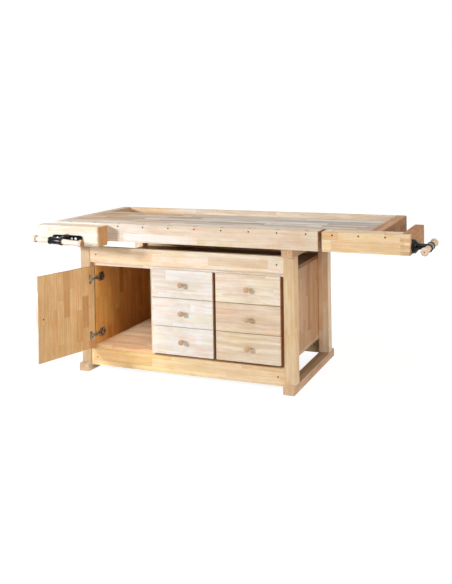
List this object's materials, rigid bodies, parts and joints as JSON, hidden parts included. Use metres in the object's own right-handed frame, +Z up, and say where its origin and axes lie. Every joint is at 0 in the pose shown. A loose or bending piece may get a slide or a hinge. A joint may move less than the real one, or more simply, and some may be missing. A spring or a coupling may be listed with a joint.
{
  "type": "woodworking bench with vises",
  "caption": "Wooden workbench on two trestles with a tool tray, dog holes, a front vise, an L-shaped tail vise and a cabinet with a hinged door and drawers.",
  "frame": {"origin": "middle of the whole bench's outline, on the floor", "axes": "+X along the bench to the tail vise, +Y from the front to the back, +Z up"},
  "size_m": [2.217, 1.1156, 0.86],
  "materials": {
    "frame_wood": "clear satin oil on laminated hardwood",
    "front_wood": "clear satin oil on pale laminated hardwood",
    "handle_wood": "turned and oiled",
    "black_steel": "black satin",
    "bright_steel": "plated"
  },
  "bodies": {
    "bench": {"bench_slab": "frame_wood", "cabinet_back": "frame_wood", "cabinet_bottom": "frame_wood", "cabinet_left_side": "frame_wood", "cabinet_right_side": "frame_wood", "cabinet_top": "frame_wood", "door_divider": "frame_wood", "drawer_divider": "frame_wood", "front_apron": "front_wood", "front_lower_rail": "frame_wood", "front_upper_rail": "frame_wood", "front_vise_nut": "black_steel", "left_bearer": "frame_wood", "left_end_cap": "frame_wood", "left_foot": "frame_wood", "left_front_post": "frame_wood", "left_rear_post": "frame_wood", "lower_hinge_arm": "bright_steel", "rear_lower_rail": "frame_wood", "rear_upper_rail": "frame_wood", "right_bearer": "frame_wood", "right_end_cap": "frame_wood", "right_foot": "frame_wood", "right_front_post": "frame_wood", "right_rear_post": "frame_wood", "tail_vise_nut": "black_steel", "tray_floor": "frame_wood", "tray_rear_board": "frame_wood", "upper_hinge_arm": "bright_steel"},
    "door": {"door_panel": "front_wood", "door_knob": "frame_wood", "upper_hinge_cup": "bright_steel", "lower_hinge_cup": "bright_steel"},
    "left_bottom_drawer": {"left_bottom_drawer_front": "front_wood", "left_bottom_drawer_box": "frame_wood", "left_bottom_drawer_knob": "frame_wood"},
    "left_middle_drawer": {"left_middle_drawer_front": "front_wood", "left_middle_drawer_box": "frame_wood", "left_middle_drawer_knob": "frame_wood"},
    "left_top_drawer": {"left_top_drawer_front": "front_wood", "left_top_drawer_box": "frame_wood", "left_top_drawer_knob": "frame_wood"},
    "right_bottom_drawer": {"right_bottom_drawer_front": "front_wood", "right_bottom_drawer_box": "frame_wood", "right_bottom_drawer_knob": "frame_wood"},
    "right_middle_drawer": {"right_middle_drawer_front": "front_wood", "right_middle_drawer_box": "frame_wood", "right_middle_drawer_knob": "frame_wood"},
    "right_top_drawer": {"right_top_drawer_front": "front_wood", "right_top_drawer_box": "frame_wood", "right_top_drawer_knob": "frame_wood"},
    "front_vise": {"front_vise_jaw": "front_wood", "front_vise_flange": "black_steel", "front_vise_guides": "bright_steel"},
    "front_screw": {"front_vise_screw": "black_steel"},
    "front_handle": {"front_vise_handle": "handle_wood"},
    "tail_vise": {"tail_vise_beam": "front_wood", "tail_vise_end_board": "frame_wood"},
    "tail_screw": {"tail_vise_screw": "black_steel"},
    "tail_handle": {"tail_vise_handle": "handle_wood"}
  },
  "joints": [
    {"name": "door_hinge", "type": "hinge", "parent": "bench", "child": "door", "pos_m": [-0.836, -0.1772, 0.374], "axis": [0, 0, 1], "range_deg": [-5, 106]},
    {"name": "left_bottom_drawer_slide", "type": "slide", "parent": "bench", "child": "left_bottom_drawer", "axis": [0, -1, 0], "range_m": [0, 0.36]},
    {"name": "left_middle_drawer_slide", "type": "slide", "parent": "bench", "child": "left_middle_drawer", "axis": [0, -1, 0], "range_m": [0, 0.36]},
    {"name": "left_top_drawer_slide", "type": "slide", "parent": "bench", "child": "left_top_drawer", "axis": [0, -1, 0], "range_m": [0, 0.36]},
    {"name": "right_bottom_drawer_slide", "type": "slide", "parent": "bench", "child": "right_bottom_drawer", "axis": [0, -1, 0], "range_m": [0, 0.36]},
    {"name": "right_middle_drawer_slide", "type": "slide", "parent": "bench", "child": "right_middle_drawer", "axis": [0, -1, 0], "range_m": [0, 0.36]},
    {"name": "right_top_drawer_slide", "type": "slide", "parent": "bench", "child": "right_top_drawer", "axis": [0, -1, 0], "range_m": [0, 0.36]},
    {"name": "front_vise_slide", "type": "slide", "parent": "bench", "child": "front_vise", "axis": [0, -1, 0], "range_m": [-0.0005, 0.1505]},
    {"name": "front_screw_turn", "type": "hinge", "parent": "front_vise", "child": "front_screw", "pos_m": [-0.9035, -0.4182, 0.78], "axis": [0, -1, 0], "range_deg": [0, 9000]},
    {"name": "front_handle_slide", "type": "slide", "parent": "front_screw", "child": "front_handle", "axis": [0.9986, 0, -0.0523], "range_m": [-0.105, 0.083]},
    {"name": "tail_vise_slide", "type": "slide", "parent": "bench", "child": "tail_vise", "axis": [1, 0, 0], "range_m": [-0.0185, 0.1085]},
    {"name": "tail_screw_turn", "type": "hinge", "parent": "tail_vise", "child": "tail_screw", "pos_m": [1.0875, -0.1582, 0.798], "axis": [1, 0, 0], "range_deg": [-1080, 6480]},
    {"name": "tail_handle_slide", "type": "slide", "parent": "tail_screw", "child": "tail_handle", "axis": [0, 1, 0], "range_m": [-0.094, 0.094]}
  ],
  "couplings": [
    {"joint": "front_vise_slide", "follows": "front_screw_turn", "m_per_rad": 0.00095493},
    {"joint": "tail_vise_slide", "follows": "tail_screw_turn", "m_per_rad": 0.00095493}
  ]
}
